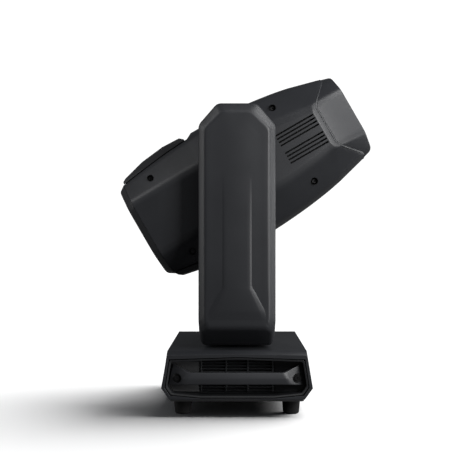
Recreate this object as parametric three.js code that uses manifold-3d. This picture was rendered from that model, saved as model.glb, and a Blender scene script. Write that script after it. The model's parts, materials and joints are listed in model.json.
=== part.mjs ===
// A moving head light: base with carrying handles, panning yoke, tilting head.
// Millimetres, +Z up. The origin is the middle of the base plate's underside, on the pan axis.
// The tilt axis runs along Y. The head rests with its lens raised REST_ELEVATION above +X.
import * as THREE from "three";
import { mergeVertices } from "three/addons/utils/BufferGeometryUtils.js";
import Module from "manifold-3d";

const wasm = await Module();
wasm.setup();

// ---- driving dimensions ----
const GAP = 0.4; // between pieces that touch
const SIDES = 28; // sides of a round piece
const WALL = 3; // moulded covers

const BASE = { plateX: 134, plateY: 218.5, plateT: 3, top: 100, endY: 220, shoulderY: 204 };
const SIDE = { x: 147.2, z: 57, slope: 8.77, windowX: 24, windowY: 90 }; // sloping side of the base
const FOOT = { x: 111, y: 165, height: 32, top: 19, bottom: 16.5, sides: 32 };
const BRACKET = { y: 100, pitch: 106, hole: 5.5 }; // quarter-turn holes of a clamp bracket
const PAN = {
  shaft: 30,
  bore: 20,
  flange: 60,
  pulleyTeeth: 58,
  pinionTeeth: 12,
  motorY: 120,
  beltLow: 66,
  beltHigh: 80,
};
const YOKE = { low: 106.5, floor: 111, inner: 143, plateT: 5, face: 205, bevelY: 190, crownTop: 146 };
const ARM = {
  top: 601,
  topX: 40,
  half: 78.5,
  shoulder: 556.6,
  faceTop: 582,
  faceTopX: 30.6,
  faceHalf: 65.5,
  faceShoulder: 547.6,
  footHalf: 70,
  faceFootHalf: 60,
  undercut: 0.66,
};
const TILT = {
  z: 456,
  shaft: 20,
  bearing: 30,
  pulleyTeeth: 48,
  pinionTeeth: 12,
  motorZ: 250,
  beltIn: 158,
  beltOut: 170,
};
const REST_ELEVATION = 30; // degrees above level
const HEAD = { rear: -234, front: 286, half: 130, lens: 76 };
const VENT = { groupV: 20.8, pitch: 7.8, half: 1.75, span: [111, 204] }; // air slots in the shells
const SCREW = { radius: 7, v: 89, u: [-160, 138] }; // screw pockets in the shells
const WHEEL = { radius: 62, offset: 45, aperture: 12, count: 7 };
const LENS_R = 44;
const RAIL = { y: 88, r: 5 };

// ---- materials ----
const finish = (color, roughness, metalness = 0) =>
  new THREE.MeshStandardMaterial({ color, roughness, metalness });
const SHELL = finish(0x232428, 0.45);
const TRIM = finish(0x1b1c1f, 0.55);
const RUBBER = finish(0x0d0d0e, 0.9);
const STEEL = finish(0x3a3b3e, 0.5, 0.7);
const BRIGHT = finish(0xa8abb0, 0.35, 0.9);
const GLASS = finish(0x9fb4c4, 0.05);
const BUTTON = finish(0x3b3d42, 0.5);

// ---- solids ----
// Closed geometry with merged vertices and its faces pointing out.
function closed(geometry) {
  const bare = geometry.index ? geometry.toNonIndexed() : geometry.clone();
  bare.deleteAttribute("normal");
  bare.deleteAttribute("uv");
  const merged = mergeVertices(bare, 1e-3);
  if (volumeOf(merged) < 0) {
    const index = merged.index.array;
    for (let i = 0; i < index.length; i += 3) {
      [index[i + 1], index[i + 2]] = [index[i + 2], index[i + 1]];
    }
  }
  return merged;
}

function volumeOf(geometry) {
  const at = geometry.attributes.position;
  const index = geometry.index.array;
  const [a, b, c] = [new THREE.Vector3(), new THREE.Vector3(), new THREE.Vector3()];
  let sum = 0;
  for (let i = 0; i < index.length; i += 3) {
    a.fromBufferAttribute(at, index[i]);
    b.fromBufferAttribute(at, index[i + 1]);
    c.fromBufferAttribute(at, index[i + 2]);
    sum += a.dot(b.cross(c)) / 6;
  }
  return sum;
}

function solid(geometry) {
  const whole = closed(geometry);
  const vertProperties = whole.attributes.position.array;
  const triVerts = new Uint32Array(whole.index.array);
  return new wasm.Manifold(new wasm.Mesh({ numProp: 3, vertProperties, triVerts }));
}

function geometryOf(manifold) {
  const mesh = manifold.getMesh();
  const positions = new THREE.BufferAttribute(new Float32Array(mesh.vertProperties), 3);
  const index = new THREE.BufferAttribute(new Uint32Array(mesh.triVerts), 1);
  return new THREE.BufferGeometry().setAttribute("position", positions).setIndex(index);
}

const join = (...pieces) => geometryOf(pieces.map(solid).reduce((a, b) => a.add(b)));
const cut = (piece, ...tools) => geometryOf(tools.map(solid).reduce((a, b) => a.subtract(b), solid(piece)));
const common = (a, b) => geometryOf(solid(a).intersect(solid(b)));

// ---- shapes ----
function block([x0, x1], [y0, y1], [z0, z1]) {
  const box = new THREE.BoxGeometry(x1 - x0, y1 - y0, z1 - z0);
  return box.translate((x0 + x1) / 2, (y0 + y1) / 2, (z0 + z1) / 2);
}

// A round bar along Z.
function rod(radius, from, to, x = 0, y = 0, sides = SIDES) {
  const bar = new THREE.CylinderGeometry(radius, radius, to - from, sides).rotateX(Math.PI / 2);
  return bar.translate(x, y, (from + to) / 2);
}

// A solid of revolution about Z from [radius, z] pairs; the profile closes on itself.
function turned(profile, sides = SIDES) {
  const points = [...profile, profile[0]].map(([r, z]) => new THREE.Vector2(r, z));
  return new THREE.LatheGeometry(points, sides).rotateX(Math.PI / 2);
}

const ringOf = (outer, inner, from, to) => turned([[inner, from], [outer, from], [outer, to], [inner, to]]);

// An outline of [x, y] pairs raised from one level to another along Z.
function prism(outline, from, to, holes = []) {
  const shape = new THREE.Shape(outline.map(([x, y]) => new THREE.Vector2(x, y)));
  shape.holes = holes.map((hole) => new THREE.Path(hole.map(([x, y]) => new THREE.Vector2(x, y))));
  const raised = new THREE.ExtrudeGeometry(shape, { depth: to - from, bevelEnabled: false });
  return raised.translate(0, 0, from);
}

const circle = (radius, sides = SIDES) =>
  Array.from({ length: sides }, (_, i) => {
    const angle = (2 * Math.PI * i) / sides;
    return [radius * Math.cos(angle), radius * Math.sin(angle)];
  });

// Lays an X-Z outline's prism along Y: the outline's second value becomes Z.
const alongY = (outline, from, to) => prism(outline, -to, -from).rotateX(Math.PI / 2);

// Triangles that close a ring of points, wound the way the ring runs.
function capOf(ring) {
  const normal = new THREE.Vector3();
  ring.forEach((p, i) => {
    const q = ring[(i + 1) % ring.length];
    normal.add(new THREE.Vector3().crossVectors(p, q));
  });
  const drop = ["x", "y", "z"].reduce((a, b) => (Math.abs(normal[b]) > Math.abs(normal[a]) ? b : a));
  const [s, t] = { x: ["y", "z"], y: ["z", "x"], z: ["x", "y"] }[drop];
  const flat = ring.map((p) => new THREE.Vector2(p[s], p[t]));
  const sense = Math.sign(THREE.ShapeUtils.area(flat));
  return THREE.ShapeUtils.triangulateShape(flat, []).map(([a, b, c]) => {
    const turn = Math.sign(THREE.ShapeUtils.area([flat[a], flat[b], flat[c]]));
    return turn === sense ? [a, b, c] : [a, c, b];
  });
}

// Joins rings of the same number of points into one closed skin. The ends are capped,
// or with endless the last ring runs on into the first.
function loft(rings, { endless = false, cap = capOf } = {}) {
  const n = rings[0].length;
  const faces = [];
  const spans = endless ? rings.length : rings.length - 1;
  for (let i = 0; i < spans; i += 1) {
    const a = i * n;
    const b = ((i + 1) % rings.length) * n;
    for (let j = 0; j < n; j += 1) {
      const k = (j + 1) % n;
      faces.push([a + j, a + k, b + k], [a + j, b + k, b + j]);
    }
  }
  if (!endless) {
    const last = (rings.length - 1) * n;
    cap(rings[0]).forEach(([a, b, c]) => faces.push([a, c, b]));
    cap(rings.at(-1)).forEach(([a, b, c]) => faces.push([a + last, b + last, c + last]));
  }
  const positions = rings.flat().flatMap((p) => [p.x, p.y, p.z]);
  const skin = new THREE.BufferGeometry();
  skin.setAttribute("position", new THREE.Float32BufferAttribute(positions, 3));
  return closed(skin.setIndex(faces.flat()));
}

// Closes a loop made of an outer row and the inner row run backwards.
function stripCap(ring) {
  const n = ring.length;
  const faces = [];
  for (let j = 0; j < n / 2 - 1; j += 1) {
    faces.push([j, j + 1, n - 2 - j], [j, n - 2 - j, n - 1 - j]);
  }
  return faces;
}

// A toothed wheel, 1 mm of radius to each tooth.
function toothed(teeth, bore, from, to) {
  const depth = 1.4;
  const outline = Array.from({ length: teeth * 4 }, (_, i) => {
    const angle = (2 * Math.PI * (i + 0.5)) / (teeth * 4);
    const radius = i % 4 < 2 ? teeth : teeth - depth;
    return [radius * Math.cos(angle), radius * Math.sin(angle)];
  });
  return prism(outline, from, to, [circle(bore, SIDES)]);
}

// The outline round two wheels on the X axis, the larger at 0 and the smaller at span.
function beltLine(large, small, span, steps = 16) {
  const reach = Math.acos((large - small) / span);
  const arc = (x, radius, from, to) =>
    Array.from({ length: steps + 1 }, (_, i) => {
      const angle = from + ((to - from) * i) / steps;
      return [x + radius * Math.cos(angle), radius * Math.sin(angle)];
    });
  return [...arc(0, large, reach, 2 * Math.PI - reach), ...arc(span, small, -reach, reach)];
}

function belt(large, small, span, from, to) {
  const clearance = 0.5;
  const thickness = 2;
  const inner = beltLine(large + clearance, small + clearance, span);
  const outer = beltLine(large + clearance + thickness, small + clearance + thickness, span);
  return prism(outer, from, to, [inner]);
}

// ---- scene graph ----
function add(group, name, geometry, material) {
  const mesh = new THREE.Mesh(closed(geometry), material);
  mesh.name = name;
  group.add(mesh);
  return mesh;
}

// ---- base ----
function mirrorX(right) {
  const left = right.toReversed().filter(([x]) => x !== 0);
  return [...right, ...left.map(([x, z]) => [-x, z])];
}

const ringAtY = (outline, y) => outline.map(([x, z]) => new THREE.Vector3(x, y, z));

// Section of the base cover; crown and corner are the levels of its top in the middle and at the sides.
function baseSection(crown, corner, inset = 0) {
  const low = inset ? BASE.plateT - 1 : BASE.plateT + GAP;
  return mirrorX([
    [135.5 - inset, low],
    [152 - inset, 26],
    [141.2 - inset, corner - 4],
    [140.4 - inset, corner - inset],
    [0, crown - inset],
  ]);
}

// The right half of an end opening.
const OPENING = [[73, 5.6], [134, 11.4], [145.2, 27.5], [136.6, 84], [0, 88.5]];

function endOpening(inset) {
  const right = OPENING.map(([x, z]) => {
    const dx = x > 100 ? inset : 0;
    const dz = z < 20 ? inset : z > 60 ? -inset : 0;
    return [x - dx, z + dz];
  });
  return mirrorX(right);
}

function baseHousing() {
  const end = baseSection(94.8, 92);
  const full = baseSection(BASE.top, BASE.top);
  const endIn = baseSection(94.8, 92, WALL);
  const fullIn = baseSection(BASE.top, BASE.top, WALL);
  const { endY, shoulderY } = BASE;
  const endYIn = endY - 4;
  const outer = loft([
    ringAtY(end, -endY),
    ringAtY(full, -shoulderY),
    ringAtY(full, shoulderY),
    ringAtY(end, endY),
  ]);
  const inner = loft([
    ringAtY(endIn, -endYIn),
    ringAtY(fullIn, -shoulderY),
    ringAtY(fullIn, shoulderY),
    ringAtY(endIn, endYIn),
  ]);
  const opening = endOpening(0);
  const windows = [-1, 1].map((side) => {
    const hole = block([-SIDE.windowX, SIDE.windowX], [-SIDE.windowY, SIDE.windowY], [-12, 8]);
    return hole.applyMatrix4(sideMatrix(side));
  });
  return cut(
    outer,
    inner,
    alongY(opening, -endY - 5, -endY + 5),
    alongY(opening, endY - 5, endY + 5),
    ...windows,
    rod(PAN.shaft + 4, 90, 110),
  );
}

const CORNERS = [[-1, -1], [1, -1], [1, 1], [-1, 1]];

// The bottom plate, with its bracket holes and the holes that the feet are pressed into.
function basePlate() {
  const bracketHoles = CORNERS.map(([x, y]) =>
    rod(BRACKET.hole, -5, 10, (x * BRACKET.pitch) / 2, y * BRACKET.y, 24),
  );
  const footHoles = CORNERS.map(([x, y]) =>
    rod(FOOT.top + GAP, -5, 10, x * FOOT.x, y * FOOT.y, FOOT.sides),
  );
  const corner = 4;
  const { plateX: a, plateY: b } = BASE;
  const outline = mirrorX([[a - corner, -b], [a, corner - b], [a, b - corner], [a - corner, b]]);
  return cut(prism(outline, 0, BASE.plateT), ...bracketHoles, ...footHoles);
}

function baseFrame() {
  const legs = CORNERS.map(([x, y]) =>
    block([-10, 10], [-10, 10], [BASE.plateT + GAP, 87]).translate(x * 102, y * 82, 0),
  );
  return cut(join(block([-112, 112], [-92, 92], [86, 90]), ...legs), rod(PAN.shaft + 3, 80, 100));
}

// The moulded recess behind a handle: a dish whose floor is the air grille.
function endPanel() {
  const rimY = -BASE.endY + 0.5;
  const wallY = -187;
  const floorY = -174;
  const thickness = 2.5;
  const floor = mirrorX([[73, 10], [76, 12], [77, 28], [76, 78], [0, 83]]);
  const skin = [
    ringAtY(floor, floorY),
    ringAtY(endOpening(3), wallY),
    ringAtY(endOpening(3), rimY),
    ringAtY(endOpening(GAP), rimY),
    ringAtY(endOpening(GAP), wallY + thickness),
    ringAtY(floor, floorY + thickness),
  ];
  const slots = [];
  for (let row = 0; row < 8; row += 1) {
    const z = 20 + row * 7.6;
    [[-71, -24], [-20, 20], [24, 71]].forEach((x) => {
      slots.push(block(x, [floorY - 5, floorY + 6], [z - 2.2, z + 2.2]));
    });
  }
  return cut(loft(skin), ...slots);
}

// A carrying handle: a flush bar with a creased face, its feet turned back to the recess wall.
function handle() {
  const heel = [
    [128.6, -201, 73],
    [134, -200, 50],
    [137.8, -199.5, 29.4],
    [135, -187.6, 31],
    [126.5, -187.6, 71],
  ];
  const bar = [
    [94.8, -220.5, 57.5],
    [101, -222, 45.5],
    [105.6, -220.5, 33.3],
    [100, -207, 34],
    [92, -207, 57],
  ];
  const ring = (points, side) => points.map(([x, y, z]) => new THREE.Vector3(side * x, y, z));
  const blank = loft([ring(heel, -1), ring(bar, -1), ring(bar, 1), ring(heel, 1)]);
  const bores = [-1, 1].map((side) => {
    const bore = rod(9.5, -6, 20, 0, 0, 24);
    return bore.rotateX(Math.PI / 2).translate(side * 121, -208, 45);
  });
  return cut(blank, ...bores);
}

// A rubber foot, straight where it sits in the plate and tapered below it.
function foot() {
  const { bottom, top, height, sides } = FOOT;
  const profile = [
    [0, -height],
    [bottom - 2, -height],
    [bottom, 2 - height],
    [top, 0],
    [top, BASE.plateT],
    [0, BASE.plateT],
  ];
  return turned(profile, sides);
}

// The frame of a sloping side: X along the slope, Y along the base, Z outwards.
function sideMatrix(side) {
  const turn = new THREE.Matrix4().makeRotationY(side * THREE.MathUtils.degToRad(90 - SIDE.slope));
  return turn.setPosition(side * SIDE.x, 0, SIDE.z);
}

function sideGroup(side) {
  const group = new THREE.Group();
  group.applyMatrix4(sideMatrix(side));
  return group;
}

const BUTTON_AT = [32, 47, 62, 77]; // along the base
const SOCKET_AT = { power_inlet: -62, data_in: 8, data_out: 52 };
const SOCKET = { power_inlet: 12, data_in: 9.5, data_out: 9.5 }; // mouth radius

function sidePlate() {
  const x = SIDE.windowX - GAP;
  const y = SIDE.windowY - GAP;
  return block([-x, x], [-y, y], [-WALL - 1, -1]);
}

function displayBezel() {
  const bores = BUTTON_AT.map((y) => rod(5.8, -10, 5, 0, y, 24));
  return cut(sidePlate(), block([-17, 17], [-70, 12], [-10, 5]), ...bores);
}

const menuButton = (y) => rod(5, -9, 0.4, 0, y, 24);

function connectorPanel() {
  const holes = Object.keys(SOCKET).map((name) => rod(SOCKET[name] + 3.4, -10, 5, 0, SOCKET_AT[name], 32));
  return cut(sidePlate(), ...holes);
}

function socket(name) {
  const mouth = SOCKET[name];
  const profile = [[0, -22], [mouth + 3, -22], [mouth + 3, 1], [mouth, 1], [mouth, -13], [0, -13]];
  return turned(profile, 32).translate(0, SOCKET_AT[name], 0);
}

function buildBase() {
  const base = new THREE.Group();
  add(base, "base_plate", basePlate(), STEEL);
  add(base, "base_housing", baseHousing(), SHELL);
  add(base, "base_frame", baseFrame(), STEEL);
  const turned180 = (geometry) => geometry.clone().rotateZ(Math.PI);
  add(base, "end_panel_front", endPanel(), TRIM);
  add(base, "end_panel_back", turned180(endPanel()), TRIM);
  add(base, "handle_front", handle(), SHELL);
  add(base, "handle_back", turned180(handle()), SHELL);
  CORNERS.forEach(([x, y], i) => {
    add(base, `foot_${i + 1}`, foot(), RUBBER).position.set(x * FOOT.x, y * FOOT.y, 0);
  });
  const display = sideGroup(1);
  add(display, "display_bezel", displayBezel(), TRIM);
  add(display, "display_screen", block([-16.6, 16.6], [-69.6, 11.6], [-5, -1.6]), GLASS);
  BUTTON_AT.forEach((y, i) => add(display, `menu_button_${i + 1}`, menuButton(y), BUTTON));
  const connectors = sideGroup(-1);
  add(connectors, "connector_panel", connectorPanel(), TRIM);
  Object.keys(SOCKET).forEach((name) => add(connectors, name, socket(name), TRIM));
  base.add(display, connectors);
  add(base, "pan_bearing", ringOf(PAN.shaft + 14, PAN.shaft + 0.4, 90.4, 96.6), BRIGHT);
  add(base, "power_supply", block([-85, 85], [-164, -112], [BASE.plateT + GAP, 48]), BRIGHT);
  const { motorY, beltLow, beltHigh } = PAN;
  const motorBody = block([-28, 28], [motorY - 28, motorY + 28], [BASE.plateT + GAP, 58]);
  add(base, "pan_motor", join(motorBody, rod(4, 50, 83, 0, motorY)), STEEL);
  const pinion = toothed(PAN.pinionTeeth, 4.4, beltLow, beltHigh);
  add(base, "pan_pinion", pinion, BRIGHT).position.y = motorY;
  const loop = belt(PAN.pulleyTeeth, PAN.pinionTeeth, motorY, beltLow + 1, beltHigh - 1);
  add(base, "pan_belt", loop.rotateZ(Math.PI / 2), RUBBER);
  const slide = block([-9, 9], [80, 108], [BASE.top + GAP, 103.5]);
  const thumbRib = block([-7, 7], [100, 106], [102, 105.6]);
  add(base, "pan_lock", join(slide, thumbRib), BUTTON);
  return base;
}

// ---- yoke ----
// Outline of an arm in X-Z at a distance from the pan axis, between its two silhouettes.
function armOutline(y, inset = 0) {
  const onFace = Math.max(0, (y - YOKE.bevelY) / (YOKE.face - YOKE.bevelY));
  const mix = (side, face) => side + (face - side) * onFace - inset;
  const low = YOKE.low - 1 + Math.max(0, y - YOKE.inner) * ARM.undercut + inset;
  return mirrorX([
    [mix(ARM.footHalf, ARM.faceFootHalf), low],
    [mix(ARM.footHalf + 5.5, ARM.faceFootHalf + 3.5), low + 9],
    [mix(ARM.half, ARM.faceHalf), low + 24],
    [mix(ARM.half, ARM.faceHalf), mix(ARM.shoulder - 3, ARM.faceShoulder - 3)],
    [mix(ARM.half - 3, ARM.faceHalf - 3), mix(ARM.shoulder + 4, ARM.faceShoulder + 4)],
    [mix(ARM.topX + 3, ARM.faceTopX + 3), mix(ARM.top - 3, ARM.faceTop - 3)],
    [mix(ARM.topX - 4, ARM.faceTopX - 4), mix(ARM.top, ARM.faceTop)],
  ]);
}

// The raised keel down the middle of an arm's face: it fades out upwards and widens to the foot.
function keel() {
  const crown = YOKE.face + 1.5;
  const rise = 2.5;
  const stations = [[442, 29, 0.05], [224, 29, 1], [178, 55, 1], [168, 56, 0.9], [150, 57, 0.05]];
  return loft(
    stations.map(([z, half, share]) => {
      const front = crown + rise * share;
      const section = [[-half, YOKE.face - 1], [half, YOKE.face - 1], [half - 5, front], [5 - half, front]];
      return section.map(([x, y]) => new THREE.Vector3(x, y, z));
    }),
  );
}

// The cover of one arm, open on its inner side, with a softly crowned face.
function armCover() {
  const rim = YOKE.inner + YOKE.plateT + GAP;
  const outer = [YOKE.face, YOKE.bevelY, rim];
  const inner = [rim, YOKE.bevelY - 1, YOKE.face - WALL];
  const cup = loft([
    ...outer.map((y) => ringAtY(armOutline(y), y)),
    ...inner.map((y) => ringAtY(armOutline(y, WALL), y)),
  ]);
  const crownLine = [-1, -0.7, -0.35, 0, 0.35, 0.7, 1].map((share) => {
    const rise = 1.6 * (1 - share * share) - 0.1;
    return [share * ARM.faceHalf, YOKE.face + rise];
  });
  const swellBack = [[ARM.faceHalf, YOKE.face - 1], [-ARM.faceHalf, YOKE.face - 1]];
  const swell = prism([...swellBack, ...crownLine], 100, 620);
  const face = alongY(armOutline(YOKE.face), YOKE.face - 1, YOKE.face + 5);
  return join(cup, common(swell, face), keel());
}

function yokeFrame() {
  const { inner, plateT, low, floor } = YOKE;
  const plate = armOutline(inner, 2.2).map(([x, z]) => [x, Math.max(z, low)]);
  const plates = [alongY(plate, inner, inner + plateT), alongY(plate, -inner - plateT, -inner)];
  const bores = rod(TILT.bearing + GAP, -200, 200).rotateX(Math.PI / 2).translate(0, 0, TILT.z);
  const crosspiece = block([-64, 64], [-inner - 1, inner + 1], [low, floor]);
  return cut(join(crosspiece, ...plates), bores, rod(PAN.bore + 2, 90, 130));
}

// The cover of the crosspiece: an upturned tray with chamfered long edges.
function yokeCover() {
  const { floor, crownTop, inner } = YOKE;
  const section = (inset, low) =>
    mirrorX([
      [69 - inset, low],
      [69 - inset, crownTop - 12],
      [57 - inset / 2, crownTop - inset],
      [0, crownTop - inset],
    ]);
  const end = inner - 0.6;
  return cut(
    alongY(section(0, floor + GAP), -end, end),
    alongY(section(WALL, floor - 2), -end + WALL, end - WALL),
  );
}

function panShaft() {
  const { shaft, bore, flange } = PAN;
  const low = 44;
  const flangeLow = 101.6;
  const top = YOKE.low - GAP;
  return turned([
    [bore, low],
    [shaft, low],
    [shaft, flangeLow],
    [flange, flangeLow],
    [flange, top],
    [bore, top],
  ]);
}

function tiltMotor() {
  const { beltIn, motorZ } = TILT;
  const size = 28;
  const [low, high] = [173, 200];
  const postFoot = YOKE.inner + YOKE.plateT + GAP;
  const posts = CORNERS.map(([x, y]) => rod(3.5, postFoot, low + 1, x * 24.5, y * 24.5, 12));
  const body = block([-size, size], [-size, size], [low, high]);
  const shaft = rod(4, beltIn - 3, low + 1);
  return join(body, shaft, ...posts).rotateX(Math.PI / 2).translate(0, 0, motorZ);
}

// Lays a piece made along Z on the front arm's side of the tilt axis.
const onFront = (geometry, z = TILT.z) => geometry.rotateX(Math.PI / 2).translate(0, 0, z);
const onBack = (geometry, z = TILT.z) => geometry.rotateX(-Math.PI / 2).translate(0, 0, z);

function tiltLock() {
  const lever = join(rod(10, 134.5, YOKE.inner - GAP, 0, 0, 24), block([-6, 6], [0, 44], [134.5, 139]));
  return onBack(lever, 350);
}

function buildYoke() {
  const yoke = new THREE.Group();
  add(yoke, "yoke_frame", yokeFrame(), SHELL);
  add(yoke, "arm_cover_front", armCover().rotateZ(Math.PI), SHELL);
  add(yoke, "arm_cover_back", armCover(), SHELL);
  add(yoke, "yoke_cover", yokeCover(), SHELL);
  add(yoke, "pan_shaft", panShaft(), STEEL);
  const panPulley = toothed(PAN.pulleyTeeth, PAN.shaft + GAP, PAN.beltLow, PAN.beltHigh);
  add(yoke, "pan_pulley", panPulley, BRIGHT);
  const bearing = () => ringOf(TILT.bearing, TILT.shaft + 0.4, YOKE.inner, YOKE.inner + 7);
  add(yoke, "tilt_bearing_front", onFront(bearing()), BRIGHT);
  add(yoke, "tilt_bearing_back", onBack(bearing()), BRIGHT);
  add(yoke, "tilt_motor", tiltMotor(), STEEL);
  const { beltIn, beltOut, motorZ } = TILT;
  add(yoke, "tilt_pinion", onFront(toothed(TILT.pinionTeeth, 4.4, beltIn, beltOut), motorZ), BRIGHT);
  const loop = belt(TILT.pulleyTeeth, TILT.pinionTeeth, TILT.z - motorZ, beltIn + 1, beltOut - 1);
  add(yoke, "tilt_belt", onFront(loop.rotateZ(-Math.PI / 2)), RUBBER);
  add(yoke, "tilt_lock", tiltLock(), BUTTON);
  return yoke;
}

// ---- head, built upright: Z is the optical axis, -X is the head's top ----
const BEVEL_TOP = 78; // half-width where a bevel meets the top or bottom

// A quarter of a section from the side to the crown, as [y, v, u]: half-width, height, place on the axis.
function quarter(u, { crown, shoulder, flat, half = HEAD.half, top = BEVEL_TOP }) {
  const soft = 7;
  return [
    [half, flat - soft, u],
    [half - 4, flat + soft, u],
    [top, shoulder, u],
    [top / 2, crown - 1, u],
    [0, crown, u],
  ];
}

// The shells' sections from the rear to the edge of the front cowl. The last two leave the plane of a
// section: the edge runs forward from the side towards the top and bottom.
const BODY = [
  [-219, { crown: 113, shoulder: 107, flat: 59, half: 128.5 }],
  [-160, { crown: 122, shoulder: 115, flat: 59 }],
  [-107, { crown: 128, shoulder: 121, flat: 59 }],
  [-57, { crown: 131, shoulder: 124.5, flat: 59 }],
  [-52, { crown: 131, shoulder: 125, flat: 59 }],
  [-38, { crown: 139, shoulder: 127, flat: 59 }],
  [20, { crown: 138.5, shoulder: 128, flat: 59 }],
  [96, { crown: 133, shoulder: 124, flat: 58 }],
  [157, { crown: 125, shoulder: 116, flat: 52, top: 74 }],
  [194, { crown: 118, shoulder: 110, flat: 46, top: 70 }],
];
const CREASE = [[HEAD.half, 38, 205], [126, 52, 212], [63, 92, 259], [32, 99.5, 262], [0, 100.5, 262]];
const PARTING = [[124.5, 41, 218], [119, 54, 227], [60, 88, 266], [31, 96.5, 268], [0, 98, 268]];
const COWL_FRONT = [[88.5, 47, 286], [86, 55, 286], [53, 86, 286], [27, 91.5, 286], [0, 93, 286]];

const SPLIT = 0.2; // each side shell stops this far from the middle

// The half section from the bottom centre line by one side to the top centre line.
function halfRow(fourth, side, scale = 1) {
  const upper = fourth.map(([y, v, u]) => [Math.max(y * scale, SPLIT), v * scale, u]);
  const lower = upper.toReversed().map(([y, v, u]) => [y, -v, u]);
  const level = [upper[0][0], 0, upper[0][2]];
  return [...lower, level, ...upper].map(([y, v, u]) => new THREE.Vector3(-v, side * y, u));
}

function fullRing(fourth, scale = 1, shift = 0) {
  const near = halfRow(fourth, -1, scale);
  const far = halfRow(fourth, 1, scale).toReversed().slice(1, -1);
  near[0].y = 0;
  near.at(-1).y = 0;
  return [...near, ...far].map((p) => new THREE.Vector3(p.x, p.y, p.z + shift));
}

const SKIN = 1 - WALL / 110;

// One side shell, with its air slots, trunnion hole and screw pockets.
function sideShell(side) {
  const stations = [...BODY.map(([u, size]) => quarter(u, size)), CREASE, PARTING];
  const rows = stations.map((s) => [...halfRow(s, side), ...halfRow(s, side, SKIN).toReversed()]);
  const outwards = (-side * Math.PI) / 2;
  const tools = [rod(TILT.shaft + 4, 0, 200).rotateX(outwards)];
  [-1, 1].forEach((group) => {
    [-1.5, -0.5, 0.5, 1.5].forEach((place) => {
      const v = group * VENT.groupV + place * VENT.pitch;
      const slot = block([v - VENT.half, v + VENT.half], [-20, 20], VENT.span);
      tools.push(slot.translate(0, side * HEAD.half, 0));
    });
    SCREW.u.forEach((u) => {
      tools.push(rod(SCREW.radius, 85, 160, group * SCREW.v, 0, 20).rotateX(outwards).translate(0, 0, u));
    });
  });
  return cut(loft(rows, { cap: stripCap }), ...tools);
}

// Height of the shells' crown and shoulder at a place along the axis.
function shellAt(u) {
  const i = BODY.findIndex(([station]) => station >= u);
  const [[u0, a], [u1, b]] = [BODY[i - 1], BODY[i]];
  const t = (u - u0) / (u1 - u0);
  return { crown: a.crown + (b.crown - a.crown) * t, shoulder: a.shoulder + (b.shoulder - a.shoulder) * t };
}

// A raised service panel over the rear half; side is 1 on top and -1 underneath.
function servicePanel(side, heights) {
  const seatGap = 0.8;
  const rings = heights.map(([u, crown]) => {
    const shell = shellAt(u);
    const half = 72;
    const share = (BEVEL_TOP - half) / (BEVEL_TOP / 2);
    const seat = shell.shoulder + (shell.crown - 1 - shell.shoulder) * share;
    const outer = [[half, seat + seatGap], [half - 3, crown - 5], [36, crown - 1]];
    const right = [[BEVEL_TOP / 2, shell.crown - 1 + seatGap], ...outer];
    const left = right.toReversed().map(([y, v]) => [-y, v]);
    const section = [[0, shell.crown + seatGap], ...right, [0, crown], ...left];
    return section.map(([y, v]) => new THREE.Vector3(-side * v, y, u));
  });
  return loft(rings);
}

function rearCap() {
  const rim = quarter(-219.5, { ...BODY[0][1] });
  const back = quarter(HEAD.rear, { crown: 104, shoulder: 98, flat: 52, half: 112, top: 68 });
  const skin = [fullRing(back), fullRing(rim), fullRing(rim, SKIN), fullRing(back, SKIN, WALL)];
  const slots = [];
  for (let row = -5; row <= 5; row += 1) {
    const x = row * 11;
    [[-88, -12], [12, 88]].forEach((y) => {
      slots.push(block([x - 2.5, x + 2.5], y, [HEAD.rear - 5, HEAD.rear + 8]));
    });
  }
  return cut(loft(skin), ...slots);
}

function frontCowl() {
  const shift = 0.8;
  const face = fullRing(COWL_FRONT);
  const mouth = (u, radius) =>
    face.map((p) => {
      const angle = Math.atan2(p.y, p.x);
      return new THREE.Vector3(radius * Math.cos(angle), radius * Math.sin(angle), u);
    });
  return loft(
    [
      fullRing(PARTING, 1, shift),
      face,
      mouth(HEAD.front, HEAD.lens + 4),
      mouth(HEAD.front - 5, HEAD.lens + 1),
      mouth(HEAD.front - 8, HEAD.lens + 1),
      fullRing(COWL_FRONT, 0.965, -6),
      fullRing(PARTING, SKIN, shift),
    ],
    { endless: true },
  );
}

function headChassis() {
  const sides = [-1, 1].map((s) => block([-48, 48], [s * 110 - 2, s * 110 + 2], [-190, 200]));
  const outline = mirrorX([[48, -110], [92, -80], [92, 80], [48, 110]]);
  const bulkhead = (u, radius) => prism(outline, u, u + 4, [circle(radius)]);
  const rails = [-1, 1].map((s) => rod(RAIL.r, 28, 197, 0, s * RAIL.y, 16));
  return join(...sides, bulkhead(-56, 30), bulkhead(26, 30), bulkhead(196, 82), ...rails);
}

function heatSink() {
  const fins = [];
  for (let y = -66; y <= 66; y += 12) {
    fins.push(block([-70, 70], [y - 1.5, y + 1.5], [-188, -116]));
  }
  return join(block([-72, 72], [-72, 72], [-118, -108]), ...fins);
}

const ledModule = () => turned([[0, -107.6], [42, -107.6], [42, -100], [22, -100], [29, -64], [0, -64]]);

function coolingFan() {
  const count = 7;
  const blades = Array.from({ length: count }, (_, i) => {
    const blade = block([14, 56], [-11, 11], [-1, 1]).rotateX(0.6).translate(0, 0, -204);
    return blade.rotateZ((2 * Math.PI * i) / count);
  });
  return join(rod(19, -212, -196), ...blades);
}

// A wheel of apertures that turns beside the optical axis and carries one of them into it.
function apertureWheel(u, thickness) {
  const hole = rod(WHEEL.aperture, u - 5, u + 5, -WHEEL.offset, 0, 14);
  const holes = Array.from({ length: WHEEL.count }, (_, i) =>
    hole.clone().rotateZ((2 * Math.PI * i) / WHEEL.count),
  );
  return cut(rod(WHEEL.radius, u, u + thickness, 0, 0, 42), ...holes).translate(WHEEL.offset, 0, 0);
}

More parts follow.
